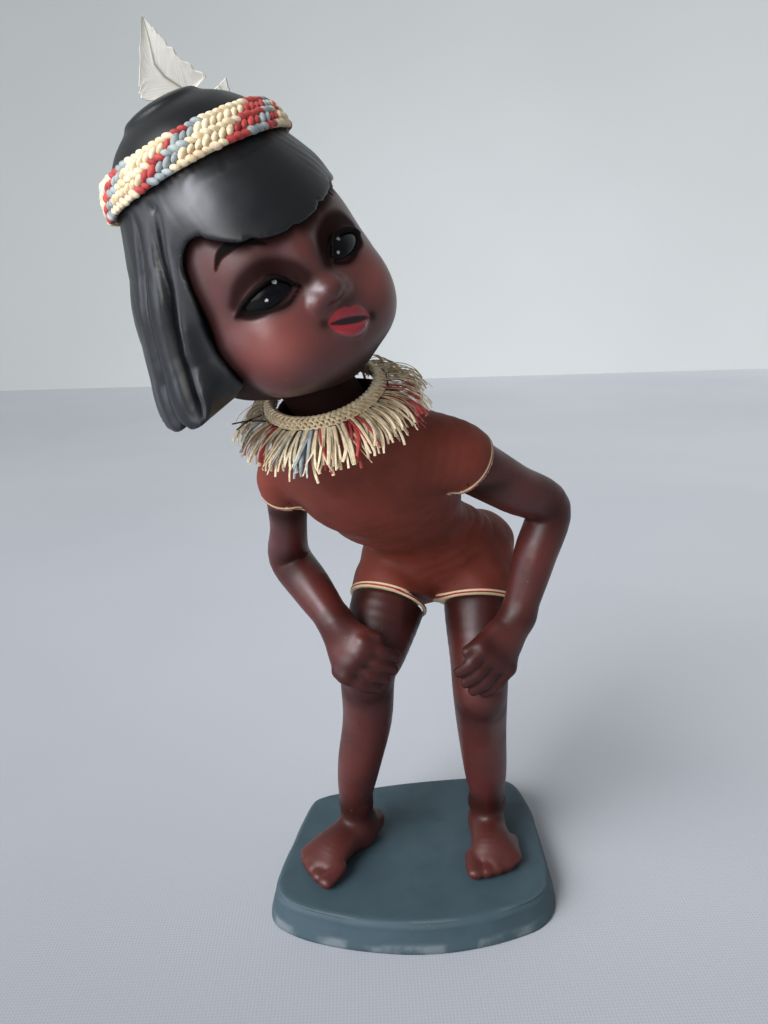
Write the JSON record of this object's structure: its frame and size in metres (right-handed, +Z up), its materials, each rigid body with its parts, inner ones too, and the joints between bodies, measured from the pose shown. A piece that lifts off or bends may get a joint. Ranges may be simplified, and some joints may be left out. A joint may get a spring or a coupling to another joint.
{
  "type": "ceramic figurine",
  "caption": "Painted ceramic doll that leans forward with its hands on its knees on a rounded base; its loose head nods on a neck spring above a raffia collar.",
  "frame": {"origin": "middle of the underside of the base", "axes": "+Z up from the base, the doll's feet point to -Y, +X to the doll's left"},
  "size_m": [0.0916, 0.0917, 0.2027],
  "materials": {
    "base_paint": "matte blue-grey paint, worn at the edges",
    "skin_paint": "satin brown paint with airbrushed shading",
    "playsuit_paint": "matte rust paint with cream and red edging",
    "hair_paint": "satin black",
    "eye_glaze": "gloss black",
    "raffia": "matte split fibre, natural with red and grey strands",
    "thread": "matte dark sewing thread",
    "feather": "matte translucent vane",
    "spring_wire": "bright drawn wire",
    "cork": "raw cork"
  },
  "bodies": {
    "body": {"base": "base_paint", "left_leg": "skin_paint", "right_leg": "skin_paint", "torso": "playsuit_paint", "left_arm": "skin_paint", "right_arm": "skin_paint", "lower_spring_plug": "cork", "collar_braid": "raffia", "collar_fringe_front": "raffia", "collar_fringe_left": "raffia", "collar_fringe_back": "raffia", "collar_fringe_right": "raffia", "collar_thread": "thread"},
    "spring": {"neck_spring": "spring_wire"},
    "plug": {"upper_spring_plug": "cork"},
    "head": {"head": "skin_paint", "hair": "hair_paint", "left_eye": "eye_glaze", "right_eye": "eye_glaze", "headband": "raffia", "headband_tie": "raffia", "feather_large": "feather", "feather_small": "feather"}
  },
  "joints": [
    {"name": "head_nod", "type": "hinge", "parent": "body", "child": "spring", "pos_m": [-0.0165, -0.031, 0.1363], "axis": [0.866, 0.5, 0], "range_deg": [-8, 8], "stiffness_Nm_per_rad": 0.12, "springref_deg": 0.4, "deforming": ["neck_spring"]},
    {"name": "head_sway", "type": "hinge", "parent": "spring", "child": "plug", "pos_m": [-0.0165, -0.031, 0.1363], "axis": [-0.5, 0.866, 0], "range_deg": [-8, 8], "stiffness_Nm_per_rad": 0.12, "springref_deg": 4.82},
    {"name": "head_turn", "type": "hinge", "parent": "plug", "child": "head", "pos_m": [-0.0165, -0.031, 0.1363], "axis": [-0.4594, -0.1598, 0.8738], "range_deg": [-15, 15], "stiffness_Nm_per_rad": 0.06, "springref_deg": 0.5}
  ]
}
